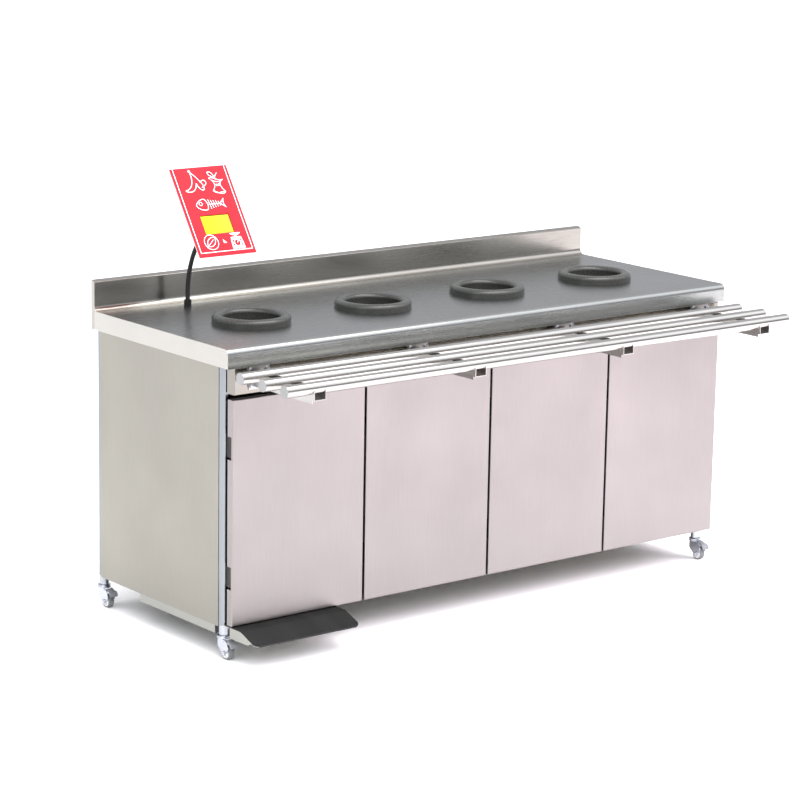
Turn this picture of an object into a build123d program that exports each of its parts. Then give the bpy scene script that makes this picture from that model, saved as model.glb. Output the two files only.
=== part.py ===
from build123d import *
import math
import os

os.makedirs("parts", exist_ok=True)

# Canteen waste-sorting table: a stainless worktop with four rubber-ringed waste holes, a door below
# each hole, a tray slide along the front, a bin scale with a ramp in the first bay, and a display
# on a gooseneck that shows the weight. All sizes are in millimetres.
# Frame: +X to the user's right, +Y to the back, +Z up, origin on the floor under the middle.

# ---- Overall ----
length = 1900.0
depth = 700.0
worktop_height = 900.0
tray_reach = 285.0            # worktop front to the front end of the tray brackets
sheet = 1.5                   # stainless sheet of the worktop, rail and panels
bend_radius = 2.0             # outside of every bend that shows
fit = 0.3                     # gap between fixed pieces that only locate each other
running = 0.05                # radial gap of every pin and axle in its hole

# ---- Worktop and upstand ----
fascia_height = 55.0
nose_radius = 18.0
lip_width = 22.0
end_lip_width = 20.0
upstand_height = 93.0
upstand_thickness = 18.0
upstand_top_fall = 7.0        # the top slopes down to the front by this much
cove_radius = 18.0
stiffener_width = 40.0
stiffener_rear_setback = 66.0

# ---- Waste holes and rubber rings ----
ring_pitch_shortfall = 26.0   # the ring pitch is this much shorter than the door pitch
ring_setback = 294.0          # worktop front to the ring centres
ring_bore_radius = 82.5
ring_band = 33.0
ring_height = 26.0
ring_neck_wall = 7.0
ring_lip = 5.0
ring_lip_height = 4.5
ring_foot_inset = 0.5         # the band's foot and neck stand this far in from its rounded sides

# ---- Legs and castors ----
leg_radius = 15.0
leg_wall = 2.0
leg_side_gap = 15.0           # worktop end to the leg
leg_front_gap = 6.0           # front rail to the leg
leg_rear_gap = 1.0            # leg to the upstand's back
leg_bottom = 97.0
insert_radius = 14.0
insert_spigot = 28.0
castor_height = 68.0
swivel_gap = 0.3
head_radius = 20.0
crown_bottom = 58.0
kingpin_radius = 5.0
kingpin_head_radius = 8.0
kingpin_head_height = 3.0
wheel_radius = 20.0
hub_radius = 15.5
wheel_width = 18.0
tyre_round = 2.5
wheel_trail = 21.0
fork_gap = 2.5
fork_plate = 2.5
fork_end_radius = 8.0
fork_back_reach = 10.0        # kingpin to the back edge of a cheek
fork_back_drop = 22.0         # crown underside to the foot of that edge
fork_front_reach = 39.0
fork_shoulder_drop = 7.0      # crown underside to the cheek's front shoulder
fork_front_drop = 21.0
fork_front_height = 28.0
axle_radius = 4.0
pedal_reach = 56.0
pedal_pivot_trail = 20.0
pedal_pivot_drop = 3.6        # crown underside to the pedal's pivot
pedal_pin_radius = 2.0
pedal_boss_radius = 3.3
pedal_half_width = 10.0
pedal_tip_half_width = 14.0
pedal_stem_length = 22.0
pedal_stem_taper = 0.8
pedal_lap = 2.0               # the stem runs this far into the pad
pedal_nose_length = 8.0
pedal_nose_fall = 7.0
pedal_tip_drop = 17.0
pedal_tip_edge = 3.0

# ---- Front rail, doors and hinges ----
face_recess = 1.0             # rail and doors sit this far behind the worktop front
rail_height = 76.0
rail_depth = 36.0
rail_end_gap = 24.0
door_end_gap = 18.0
door_count = 4
door_gap = 8.0
door_top_gap = 14.0
door_bottom = 105.0
door_thickness = 24.0
door_sheet = 1.2
hinge_inset = 138.0           # door end to the middle of a hinge
notch_height = 66.0
lug_height = 10.0
lug_wall = 3.0
pin_radius = 3.0
pin_engagement = 9.0
eye_radius = 5.0
eye_front_gap = 1.0
eye_side_gap = 2.0
swing_gap = 3.0               # behind the sweep of the door's hinge corner
arm_width = 7.0
bracket_plate = 4.0
bracket_foot = 37.0
bracket_end_gap = 3.0
catch_size = (40.0, 20.0, 20.0)
catch_inset = 50.0

# ---- Panels, partitions, shelf and lower rails ----
panel_bottom = 92.0
panel_lip = 14.5
partition_thickness = 20.0
lower_tube = 25.0
lower_tube_bottom = 96.0
shelf_rim = 20.0
shelf_front_setback = 41.0

# ---- Scale and ramp ----
scale_drop_gap = 1.0          # castor head to the underside of the scale and ramp
scale_leg_gap = 3.0
scale_wing_left = 15.0        # worktop end to the wing under the side panel
scale_right = 387.0
scale_rear = 466.0
scale_wing_gap = 7.0
scale_sheet = 2.0
platform_top = 102.5
platform_plate = 2.5
platform_margin = 4.0
platform_skirt = 6.5
cell_size = 34.0
cell_inset = 14.0
hanger_width = 40.0
hanger_thickness = 4.0
hanger_inset = 90.0
ramp_left = 20.0
ramp_flat_reach = 40.0
ramp_reach = 110.0
ramp_end_top = 76.0
ramp_cheek_reach = 69.0
ramp_cheek_setback = 14.0     # worktop front to the back of the cheek beside the leg
ramp_corner_radius = 14.0
ramp_tab = 22.0
mat_thickness = 3.0

# ---- Tray slide ----
tube_radius = 17.5
tube_wall = 1.5
tube_height = 830.0
tube_reaches = (62.0, 166.0, 266.5)
cap_thickness = 3.0
cap_plug = 12.0
bracket_inset = 105.0
bracket_count = 4
bracket_width = 40.0
bracket_sheet = 2.0
bracket_bottom = 798.0
bracket_top = 826.0
deep_web_bottom = 789.0
deep_web_setback = 8.0
flange_width = 70.0
flange_height = 64.0
flange_thickness = 3.0
bolt_spacing_x = 54.0
bolt_spacing_z = 44.0
bolt_radius = 4.0
bolt_head_flats = 13.0
bolt_head_height = 5.5
bolt_length = 18.0
bolt_hole_gap = 0.5

# ---- Display on its gooseneck ----
display_inset = 280.0         # worktop left end to the display
neck_rear_setback = 71.0      # upstand front to the gooseneck
neck_radius = 7.0
neck_straight = 38.0
gland_radius = 11.0
gland_height = 18.0
gland_floor = 2.0
plate_size = (200.0, 286.0, 5.0)
plate_tilt = 34.0
plate_rear_setback = 202.0    # upstand front to the plate's centre
plate_height = 1200.5
window_size = (100.0, 60.0)
window_drop = 42.0
screen_thickness = 3.0
screen_recess = 1.5
housing_size = (130.0, 120.0, 40.0)
housing_drop = 33.0
housing_wall = 3.0
housing_round = 6.0
tilt_axis_gap = 12.0          # housing back to the tilt axis
neck_head_radius = 10.0
neck_head_width = 26.0
ear_thickness = 4.0
ear_radius = 9.0
tilt_pin_radius = 4.0

# ---- Positions that follow from the sizes ----
leg_inset = leg_side_gap + leg_radius
leg_front_setback = face_recess + rail_depth + leg_front_gap + leg_radius
leg_rear_setback = depth - leg_rear_gap - leg_radius
rear_reach = max(depth, leg_rear_setback + head_radius)
left = -length / 2
right = length / 2
front = (tray_reach - rear_reach) / 2
back = front + depth
top = worktop_height
under_top = top - sheet
fascia_bottom = top - fascia_height
upstand_front = back - upstand_thickness
ring_y = front + ring_setback
hole_radius = ring_bore_radius + ring_neck_wall + fit
leg_y_front = front + leg_front_setback
leg_y_rear = front + leg_rear_setback
legs_xy = [(x, y) for y in (leg_y_front, leg_y_rear) for x in (left + leg_inset, right - leg_inset)]
face_y = front + face_recess
rail_bottom = fascia_bottom - rail_height
rail_back = face_y + rail_depth
doors_left = left + door_end_gap
door_width = (length - 2 * door_end_gap - (door_count - 1) * door_gap) / door_count
doors_x = [doors_left + k * (door_width + door_gap) for k in range(door_count)]
door_top = rail_bottom - door_top_gap
door_back = face_y + door_thickness
hinge_offset = door_thickness / 2
hinge_y = face_y + hinge_offset
notch_width = hinge_offset + eye_radius + eye_side_gap
notch_depth = door_thickness - hinge_offset + eye_radius + eye_front_gap
link_front = hinge_y + math.sqrt(2) * hinge_offset + swing_gap
hinges_z = (door_bottom + hinge_inset, door_top - hinge_inset)
partitions_x = [x - door_gap / 2 for x in doors_x[1:]]
ring_pitch = door_width + door_gap - ring_pitch_shortfall
rings_x = [(k - (door_count - 1) / 2) * ring_pitch for k in range(door_count)]
panel_x = left + leg_inset - leg_radius
panel_edge_gap = math.sqrt(leg_radius ** 2 - (leg_radius - sheet) ** 2) + fit
rear_panel_y = leg_y_rear + leg_radius - sheet
shelf_bottom = lower_tube_bottom + lower_tube
platform_bottom = platform_top - platform_plate
scale_bottom = castor_height + scale_drop_gap
floor_of_scale = scale_bottom + scale_sheet
display_x = left + display_inset
neck_y = upstand_front - neck_rear_setback


# ---- Shape helpers ----
def block(x0, x1, y0, y1, z0, z1):
    """A box between two corners."""
    return Pos((x0 + x1) / 2, (y0 + y1) / 2, (z0 + z1) / 2) * Box(x1 - x0, y1 - y0, z1 - z0)


def rod_z(x, y, radius, z0, z1):
    """A round bar along Z."""
    return Pos(x, y, (z0 + z1) / 2) * Cylinder(radius, z1 - z0)


def rod_x(y, z, radius, x0, x1):
    """A round bar along X."""
    return Pos((x0 + x1) / 2, y, z) * Rot(0, 90, 0) * Cylinder(radius, x1 - x0)


def rod_y(x, z, radius, y0, y1):
    """A round bar along Y."""
    return Pos(x, (y0 + y1) / 2, z) * Rot(90, 0, 0) * Cylinder(radius, y1 - y0)


def prism_x(outline, x0, x1):
    """A bar along X whose section is an outline of (y, z) points."""
    face = make_face(Polyline(*[(x0, y, z) for y, z in outline], close=True))
    return extrude(face, amount=x1 - x0, dir=(1, 0, 0))


def rectangle(x0, x1, y0, y1):
    """A flat rectangle between two corners."""
    return Pos((x0 + x1) / 2, (y0 + y1) / 2) * Rectangle(x1 - x0, y1 - y0)


def bent_front(body):
    """A box with the bends of folded sheet round its front face."""
    return fillet(body.faces().sort_by(Axis.Y)[0].edges(), bend_radius)


def mirrored(shape):
    """The same piece at the other end of the table."""
    return mirror(shape, about=Plane.YZ)


def save(name, *pieces):
    """One STEP file per node: a single solid, or a group of separate ones."""
    solids = [s for piece in pieces for s in piece.solids()]
    shape = solids[0] if len(solids) == 1 else Compound(solids)
    export_step(shape, f"parts/{name}.step")


# ---- Worktop: one folded sheet with a bull-nosed front, a turned-in lip and the waste holes ----
def nosed_block(x0, x1, inset, z0):
    """The worktop's outline, shrunk by an inset on its front and top."""
    body = block(x0, x1, front + inset, upstand_front, z0, top - inset)
    nose = body.edges().filter_by(Axis.X).sort_by(lambda e: e.center().Y - e.center().Z)[0]
    return fillet(nose, nose_radius - inset)


worktop = nosed_block(left + sheet, right - sheet, 0, fascia_bottom)
worktop -= nosed_block(left, right, sheet, fascia_bottom + sheet)
worktop -= block(left, right, front + lip_width, upstand_front, fascia_bottom, fascia_bottom + sheet)
for ring_x in rings_x:
    worktop -= rod_z(ring_x, ring_y, hole_radius, under_top - sheet, top + sheet)
save("worktop", worktop)

end_plate = nosed_block(left, left + sheet, 0, fascia_bottom)
end_plate += block(
    left, left + end_lip_width, front + lip_width, upstand_front, fascia_bottom, fascia_bottom + sheet
)
save("worktop_end_plates", end_plate, mirrored(end_plate))

# The upstand is a hollow splash wall with a sloping top, open below, and a coved foot on the worktop.
upstand_top = top + upstand_height


def splash_wall(x0, x1, inset):
    """The upstand's outline, shrunk by an inset on its front, top and back."""
    outline = [
        (upstand_front + inset, fascia_bottom),
        (upstand_front + inset, upstand_top - upstand_top_fall - inset),
        (back - inset, upstand_top - inset), (back - inset, fascia_bottom),
    ]
    return prism_x(outline, x0, x1)


upstand = splash_wall(left, right, 0)
upstand = fillet(upstand.edges().filter_by(Axis.X).sort_by(Axis.Z)[-2:], bend_radius)
upstand -= splash_wall(left + sheet, right - sheet, sheet)
cove = block(left, right, upstand_front - cove_radius, upstand_front, top, top + cove_radius)
cove -= rod_x(upstand_front - cove_radius, top + cove_radius, cove_radius, left, right)
save("upstand", upstand + cove)


# ---- Worktop stiffeners: four channels under the sheet, open towards it ----
def channel_up(x0, x1, y0, y1, along):
    """A U channel with its web down, running along X or Y."""
    body = block(x0, x1, y0, y1, fascia_bottom, under_top)
    if along == "x":
        return body - block(x0, x1, y0 + sheet, y1 - sheet, fascia_bottom + sheet, under_top)
    return body - block(x0 + sheet, x1 - sheet, y0, y1, fascia_bottom + sheet, under_top)


cross_x0 = left + end_lip_width
cross_x1 = cross_x0 + stiffener_width
cross = channel_up(cross_x0, cross_x1, front + lip_width, upstand_front, "y")
bar_front = front + lip_width
bar_rear = upstand_front - stiffener_rear_setback
save(
    "worktop_stiffeners",
    cross,
    mirrored(cross),
    channel_up(cross_x1, -cross_x1, bar_front, bar_front + stiffener_width, "x"),
    channel_up(cross_x1, -cross_x1, bar_rear - stiffener_width, bar_rear, "x"),
)

# ---- Rubber rings: a D-shaped band on the sheet, with a neck and a lip that grip the hole's edge ----
band_middle = ring_bore_radius + ring_band / 2
crown_height = ring_height / 2
neck_inner = ring_bore_radius + ring_foot_inset
neck_outer = ring_bore_radius + ring_neck_wall
lip_bottom = -sheet - ring_lip_height
band_outer = ring_bore_radius + ring_band
section = Pos(band_middle, crown_height) * Ellipse(ring_band / 2, crown_height)
section += rectangle(neck_inner, band_outer - ring_foot_inset, 0, crown_height)
section += rectangle(neck_inner, neck_outer, lip_bottom, 0)
section += rectangle(neck_inner, neck_outer + ring_lip, lip_bottom, -sheet - fit)
ring = revolve(Plane.XZ * section, axis=Axis.Z)
for number, ring_x in enumerate(rings_x, 1):
    save(f"scrap_ring_{number}", Pos(ring_x, ring_y, top) * ring)

# ---- Front rail: a box-shaped fascia above the doors, open at the back, bored for the brackets ----
rail_left = left + rail_end_gap
front_rail = bent_front(block(rail_left, -rail_left, face_y, rail_back, rail_bottom, fascia_bottom))
front_rail -= block(
    rail_left + sheet, -rail_left - sheet, face_y + sheet, rail_back, rail_bottom + sheet,
    fascia_bottom - sheet,
)
bracket_pitch = (length - 2 * bracket_inset) / (bracket_count - 1)
brackets_x = [left + bracket_inset + k * bracket_pitch for k in range(bracket_count)]
flange_top = fascia_bottom - fit
flange_middle = flange_top - flange_height / 2
bolts_xz = [
    (x + dx * bolt_spacing_x / 2, flange_middle + dz * bolt_spacing_z / 2)
    for x in brackets_x for dx in (-1, 1) for dz in (-1, 1)
]
for bolt_x, bolt_z in bolts_xz:
    front_rail -= rod_y(bolt_x, bolt_z, bolt_radius + bolt_hole_gap, face_y - sheet, face_y + 2 * sheet)
save("front_rail", front_rail)

# ---- Tray slide: three capped tubes in four channel brackets ----
tubes_y = [front - reach for reach in tube_reaches]
tubes = []
caps = []
for tube_y in tubes_y:
    tubes.append(
        rod_x(tube_y, tube_height, tube_radius, left, right)
        - rod_x(tube_y, tube_height, tube_radius - tube_wall, left, right)
    )
    cap = rod_x(tube_y, tube_height, tube_radius, left - cap_thickness, left)
    cap += rod_x(tube_y, tube_height, tube_radius - tube_wall - fit, left, left + cap_plug)
    caps += [cap, mirrored(cap)]
save("tray_tubes", *tubes)
save("tray_tube_caps", *caps)

bracket_front = front - tray_reach
flange_front = face_y - flange_thickness


def tray_bracket(x):
    """A channel arm with half-round saddles, welded to a flange that is bolted to the front rail."""
    x0 = x - bracket_width / 2
    x1 = x + bracket_width / 2
    arm = block(x0, x1, bracket_front, flange_front, bracket_bottom, bracket_top)
    arm -= block(
        x0 + bracket_sheet, x1 - bracket_sheet, bracket_front, flange_front,
        bracket_bottom + bracket_sheet, bracket_top,
    )
    arm += block(
        x0, x0 + bracket_sheet, bracket_front + deep_web_setback, flange_front,
        deep_web_bottom, bracket_bottom,
    )
    for tube_y in tubes_y:
        arm -= rod_x(tube_y, tube_height, tube_radius, x0, x1)
    flange = block(
        x - flange_width / 2, x + flange_width / 2, flange_front, face_y,
        flange_top - flange_height, flange_top,
    )
    for bolt_x, bolt_z in bolts_xz:
        flange -= rod_y(bolt_x, bolt_z, bolt_radius + bolt_hole_gap, flange_front, face_y)
    return arm + flange


save("tray_brackets", *[tray_bracket(x) for x in brackets_x])


def hex_bolt(x, z):
    """A hexagon bolt with its head on the bracket's flange."""
    head_section = Plane((x, flange_front, z), z_dir=(0, -1, 0)) * RegularPolygon(
        bolt_head_flats / 2, 6, major_radius=False
    )
    head = extrude(head_section, amount=bolt_head_height)
    return head + rod_y(x, z, bolt_radius, flange_front, flange_front + bolt_length)


save("bracket_bolts", *[hex_bolt(x, z) for x, z in bolts_xz])

# ---- Legs: round tubes from the worktop's cross channels down to the castor inserts ----
legs = [
    rod_z(x, y, leg_radius, leg_bottom, fascia_bottom)
    - rod_z(x, y, leg_radius - leg_wall, leg_bottom, fascia_bottom)
    for x, y in legs_xy
]
save("legs", *legs)

kingpin_head_top = crown_bottom - swivel_gap


def leg_insert(x, y):
    """The plug in a leg's foot, with the kingpin that its castor turns on."""
    plug = rod_z(x, y, insert_radius, castor_height, leg_bottom)
    plug += rod_z(x, y, leg_radius - leg_wall, leg_bottom, leg_bottom + insert_spigot)
    plug += rod_z(x, y, kingpin_radius, kingpin_head_top, castor_height)
    return plug + rod_z(
        x, y, kingpin_head_radius, kingpin_head_top - kingpin_head_height, kingpin_head_top
    )


save("leg_inserts", *[leg_insert(x, y) for x, y in legs_xy])

# ---- Panels: sheets set tangent to the legs, with a turned-in foot on the side panels ----
side = block(
    panel_x, panel_x + sheet, leg_y_front + panel_edge_gap, leg_y_rear - panel_edge_gap,
    panel_bottom, fascia_bottom,
)
side += block(
    panel_x, panel_x + sheet + panel_lip, leg_y_front + leg_radius + fit, leg_y_rear - leg_radius - fit,
    panel_bottom, panel_bottom + sheet,
)
save("side_panels", side, mirrored(side))
rear_panel_left = left + leg_inset + panel_edge_gap
save("rear_panel", block(
    rear_panel_left, -rear_panel_left, rear_panel_y, rear_panel_y + sheet, panel_bottom, fascia_bottom
))


# ---- Partitions: thin folded boxes between the bays, open at the back ----
def partition(x):
    half = partition_thickness / 2
    body = block(x - half, x + half, rail_back, rear_panel_y, shelf_bottom, fascia_bottom)
    return body - block(
        x - half + sheet, x + half - sheet, rail_back + sheet, rear_panel_y, shelf_bottom + sheet,
        fascia_bottom - sheet,
    )


save("partitions", *[partition(x) for x in partitions_x])


# ---- Lower rails: square tubes between the legs, and two straps that carry the scale ----
def square_tube(x0, x1, y0, y1, along):
    body = block(x0, x1, y0, y1, lower_tube_bottom, shelf_bottom)
    z0 = lower_tube_bottom + sheet
    z1 = shelf_bottom - sheet
    if along == "x":
        return body - block(x0, x1, y0 + sheet, y1 - sheet, z0, z1)
    return body - block(x0 + sheet, x1 - sheet, y0, y1, z0, z1)


half_tube = lower_tube / 2
leg_inner = left + leg_inset + leg_radius
cross_tube_left = partitions_x[0] - half_tube
cross_tube_right = partitions_x[0] + half_tube
scale_y0 = leg_y_front - leg_radius - scale_leg_gap
scale_y1 = front + scale_rear
scale_x0 = leg_inner + scale_leg_gap
scale_x1 = left + scale_right
straps = [
    block(
        scale_x1 - scale_sheet, cross_tube_right, y - hanger_width / 2, y + hanger_width / 2,
        lower_tube_bottom - hanger_thickness, lower_tube_bottom,
    )
    for y in (scale_y0 + hanger_inset, scale_y1 - hanger_inset / 2)
]
save(
    "lower_rails",
    square_tube(cross_tube_left, -leg_inner, leg_y_front - half_tube, leg_y_front + half_tube, "x"),
    square_tube(leg_inner, -leg_inner, leg_y_rear - half_tube, leg_y_rear + half_tube, "x"),
    square_tube(cross_tube_left, cross_tube_right, leg_y_front + half_tube, leg_y_rear - half_tube, "y"),
    *straps,
)

# ---- Base shelf: a sheet floor with turned-up sides in every bay but the one with the scale ----
bay_walls = [x + partition_thickness / 2 for x in partitions_x]
bay_ends = [x - partition_thickness / 2 for x in partitions_x[1:]] + [-leg_inner - 2 * fit]
shelves = []
for x0, x1 in zip(bay_walls, bay_ends):
    floor = block(x0, x1, front + shelf_front_setback, rear_panel_y, shelf_bottom, shelf_bottom + shelf_rim)
    floor -= block(
        x0 + sheet, x1 - sheet, front + shelf_front_setback, rear_panel_y - sheet,
        shelf_bottom + sheet, shelf_bottom + shelf_rim,
    )
    shelves.append(floor)
save("base_shelf", *shelves)

# ---- Scale: a sheet tray hung in the frame, four load cells and the platform on them ----
wing_x0 = left + scale_wing_left
wing_y0 = leg_y_front + leg_radius + scale_wing_gap
scale_base = block(scale_x0, scale_x1, scale_y0, scale_y1, scale_bottom, panel_bottom)
scale_base += block(wing_x0, scale_x0, wing_y0, scale_y1, scale_bottom, panel_bottom)
scale_base -= block(
    scale_x0 + scale_sheet, scale_x1 - scale_sheet, scale_y0 + scale_sheet, scale_y1 - scale_sheet,
    floor_of_scale, panel_bottom,
)
scale_base -= block(
    wing_x0 + scale_sheet, scale_x0 + scale_sheet, wing_y0 + scale_sheet, scale_y1 - scale_sheet,
    floor_of_scale, panel_bottom,
)
save("scale_base", scale_base)

platform_x0 = scale_x0 + platform_margin
platform_x1 = scale_x1 - platform_margin
platform_y0 = scale_y0 + platform_margin
platform_y1 = scale_y1 - platform_margin
skirt_bottom = platform_bottom - platform_skirt
platform = block(platform_x0, platform_x1, platform_y0, platform_y1, skirt_bottom, platform_top)
platform -= block(
    platform_x0 + scale_sheet, platform_x1 - scale_sheet, platform_y0 + scale_sheet,
    platform_y1 - scale_sheet, skirt_bottom, platform_bottom,
)
save("scale_platform", platform)
cells = [
    block(x, x + cell_size, y, y + cell_size, floor_of_scale, platform_bottom)
    for x in (platform_x0 + cell_inset, platform_x1 - cell_inset - cell_size)
    for y in (platform_y0 + cell_inset, platform_y1 - cell_inset - cell_size)
]
save("load_cells", *cells)

# ---- Ramp: a bent plate between two cheeks in front of the scale, with a ribbed rubber mat on it ----
ramp_x0 = left + ramp_left
ramp_rear = scale_y0
ramp_bend = front - ramp_flat_reach
ramp_front = front - ramp_reach
slope = (platform_top - ramp_end_top) / (ramp_reach - ramp_flat_reach)


def ramp_layer(z_drop, thickness):
    """A bent layer that follows the ramp's top line, a given drop below it."""
    flat_top = platform_top - z_drop
    end_top = ramp_end_top - z_drop
    layer = prism_x(
        [
            (ramp_rear, flat_top), (ramp_bend, flat_top), (ramp_front, end_top),
            (ramp_front, end_top - thickness), (ramp_bend, flat_top - thickness),
            (ramp_rear, flat_top - thickness),
        ],
        ramp_x0, scale_x1,
    )
    plan = block(ramp_x0, scale_x1, ramp_front, ramp_rear, 0, top)
    corners = plan.edges().filter_by(Axis.Z).sort_by(Axis.Y)[:2]
    return layer & fillet(corners, ramp_corner_radius)


save("ramp_mat", ramp_layer(0, mat_thickness))
plate_bottom = platform_top - mat_thickness - scale_sheet
cheek_front = front - ramp_cheek_reach
cheek_front_top = plate_bottom - slope * (ramp_cheek_reach - ramp_flat_reach)
ramp_frame = ramp_layer(mat_thickness, scale_sheet)
for x, cheek_rear in ((ramp_x0, front + ramp_cheek_setback), (scale_x1 - scale_sheet, ramp_rear)):
    cheek_outline = [
        (cheek_rear, scale_bottom), (cheek_rear, plate_bottom), (ramp_bend, plate_bottom),
        (cheek_front, cheek_front_top), (cheek_front, scale_bottom),
    ]
    ramp_frame += prism_x(cheek_outline, x, x + scale_sheet)
for x in (ramp_x0, scale_x1 - ramp_tab):
    ramp_frame += block(
        x, x + ramp_tab, cheek_front, cheek_front + scale_sheet, scale_bottom, cheek_front_top
    )
save("ramp_frame", ramp_frame)


# ---- Doors: a pan with notches for its two hinges, and a liner that closes its back ----
def hinge_zone(x, z, height, x_width, y0, y1):
    """A block on a door's hinge edge, centred on a hinge."""
    return block(x, x + x_width, y0, y1, z - height / 2, z + height / 2)


liner_front = door_back - door_sheet
pin_length = notch_height + 2 * pin_engagement
for number, door_x in enumerate(doors_x, 1):
    door_end = door_x + door_width
    outside = bent_front(block(door_x, door_end, face_y, liner_front, door_bottom, door_top))
    pan = outside - block(
        door_x + door_sheet, door_end - door_sheet, face_y + door_sheet, liner_front,
        door_bottom + door_sheet, door_top - door_sheet,
    )
    liner = block(door_x, door_end, liner_front, door_back, door_bottom, door_top)
    for hinge_z in hinges_z:
        pan += outside & hinge_zone(
            door_x, hinge_z, notch_height + 2 * lug_height, notch_width + lug_wall, face_y, liner_front
        )
        notch = hinge_zone(
            door_x, hinge_z, notch_height, notch_width, door_back - notch_depth, door_back
        )
        pan -= notch
        liner -= notch
        pan -= rod_z(
            door_x + hinge_offset, hinge_y, pin_radius + running,
            hinge_z - pin_length / 2 - running, hinge_z + pin_length / 2 + running,
        )
    save(f"door_{number}", pan)
    save(f"door_liner_{number}", liner)


# ---- Hinges: an eye plate on each partition or leg reaches into the door's notch round a fixed pin ----
def hinge_bracket(pin_x, foot_x, z):
    height = notch_height - 2 * bracket_end_gap
    z0 = z - height / 2
    z1 = z + height / 2
    link_back = rail_back + bracket_plate
    arm_x0 = pin_x - arm_width / 2
    arm_x1 = pin_x + arm_width / 2
    plate = rod_z(pin_x, hinge_y, eye_radius, z0, z1)
    plate += block(arm_x0, arm_x1, hinge_y, link_back, z0, z1)
    plate += block(
        min(arm_x0, foot_x), max(arm_x1, foot_x + bracket_plate), link_front, link_back, z0, z1
    )
    plate += block(foot_x, foot_x + bracket_plate, link_front, link_front + bracket_foot, z0, z1)
    return plate - rod_z(pin_x, hinge_y, pin_radius, z0, z1)


pins_x = [x + hinge_offset for x in doors_x]
feet_x = [leg_inner] + bay_walls
save("hinge_brackets", *[
    hinge_bracket(pin_x, foot_x, z) for pin_x, foot_x in zip(pins_x, feet_x) for z in hinges_z
])
save("hinge_pins", *[
    rod_z(x, hinge_y, pin_radius, z - pin_length / 2, z + pin_length / 2) for x in pins_x for z in hinges_z
])

# Magnetic catches hang under the front rail behind the free end of each door.
save("door_catches", *[
    block(
        x + door_width - catch_inset - catch_size[0], x + door_width - catch_inset,
        door_back + face_recess, door_back + face_recess + catch_size[1],
        rail_bottom - catch_size[2], rail_bottom,
    )
    for x in doors_x
])

# ---- Castors: fork with axle and pedal pin, hub, tyre and brake pedal ----
arm_inside = wheel_width / 2 + fork_gap
arm_outside = arm_inside + fork_plate
crown_top = castor_height - swivel_gap
pedal_pivot_z = crown_bottom - pedal_pivot_drop
axle_length = 2 * arm_outside + 2 * fork_plate


def fork_arm(x, y, x0):
    """One broad cheek of the fork, hooding the wheel's upper half, with a round end at the axle."""
    axle_y = y - wheel_trail
    outline = [
        (y + fork_back_reach, crown_bottom), (y - head_radius, crown_bottom),
        (axle_y - fork_end_radius, crown_bottom - fork_shoulder_drop),
        (y - fork_front_reach, crown_bottom - fork_front_drop), (y - fork_front_reach, fork_front_height),
        (axle_y - fork_end_radius, wheel_radius), (axle_y + fork_end_radius, wheel_radius),
        (y + fork_back_reach, crown_bottom - fork_back_drop),
    ]
    arm = prism_x(outline, x0, x0 + fork_plate)
    return arm + rod_x(axle_y, wheel_radius, fork_end_radius, x0, x0 + fork_plate)


def pedal(x, y):
    """A curved foot pedal that lies over the tyre's front, on a pin between the fork's cheeks."""
    tip = y - pedal_reach
    pivot_y = y - pedal_pivot_trail
    pad_y = pivot_y - pedal_stem_length
    top_z = pedal_pivot_z + pedal_boss_radius
    low_z = pedal_pivot_z - pedal_boss_radius
    stem = [
        (pivot_y, top_z), (pad_y - pedal_lap, top_z - pedal_stem_taper),
        (pad_y - pedal_lap, low_z + pedal_stem_taper), (pivot_y, low_z),
    ]
    pad = [
        (pad_y + pedal_lap, top_z - pedal_stem_taper), (tip + pedal_nose_length, top_z - pedal_nose_fall),
        (tip, top_z - pedal_tip_drop), (tip + pedal_tip_edge, top_z - pedal_tip_drop - pedal_tip_edge),
        (tip + pedal_nose_length + pedal_tip_edge, low_z - pedal_nose_length / 2),
        (pad_y + pedal_lap, low_z + pedal_stem_taper),
    ]
    body = prism_x(stem, x - pedal_half_width, x + pedal_half_width)
    body += rod_x(pivot_y, pedal_pivot_z, pedal_boss_radius, x - pedal_half_width, x + pedal_half_width)
    body += prism_x(pad, x - pedal_tip_half_width, x + pedal_tip_half_width)
    return body - rod_x(
        pivot_y, pedal_pivot_z, pedal_pin_radius + running, x - pedal_half_width, x + pedal_half_width
    )


for number, (x, y) in enumerate(legs_xy, 1):
    axle_y = y - wheel_trail
    crown = rod_z(x, y, head_radius, crown_bottom, crown_top)
    crown -= rod_z(x, y, kingpin_radius + running, crown_bottom, crown_top)
    axle = rod_x(axle_y, wheel_radius, axle_radius, x - axle_length / 2, x + axle_length / 2)
    pedal_pin = rod_x(
        y - pedal_pivot_trail, pedal_pivot_z, pedal_pin_radius, x - arm_outside, x + arm_outside
    )
    fork = crown
    for arm_x in (x - arm_outside, x + arm_inside):
        fork += fork_arm(x, y, arm_x)
    fork -= axle
    fork -= pedal_pin
    save(f"castor_{number}_fork", fork, axle, pedal_pin)
    hub = rod_x(axle_y, wheel_radius, hub_radius, x - wheel_width / 2, x + wheel_width / 2)
    tyre = rod_x(axle_y, wheel_radius, wheel_radius, x - wheel_width / 2, x + wheel_width / 2) - hub
    rims = tyre.edges().filter_by(GeomType.CIRCLE).filter_by(lambda e: e.radius > hub_radius + fit)
    save(f"castor_{number}_tyre", fillet(rims, tyre_round))
    hub -= rod_x(axle_y, wheel_radius, axle_radius + running, x - wheel_width / 2, x + wheel_width / 2)
    save(f"castor_{number}_hub", hub)
    save(f"castor_{number}_brake", pedal(x, y))

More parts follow.
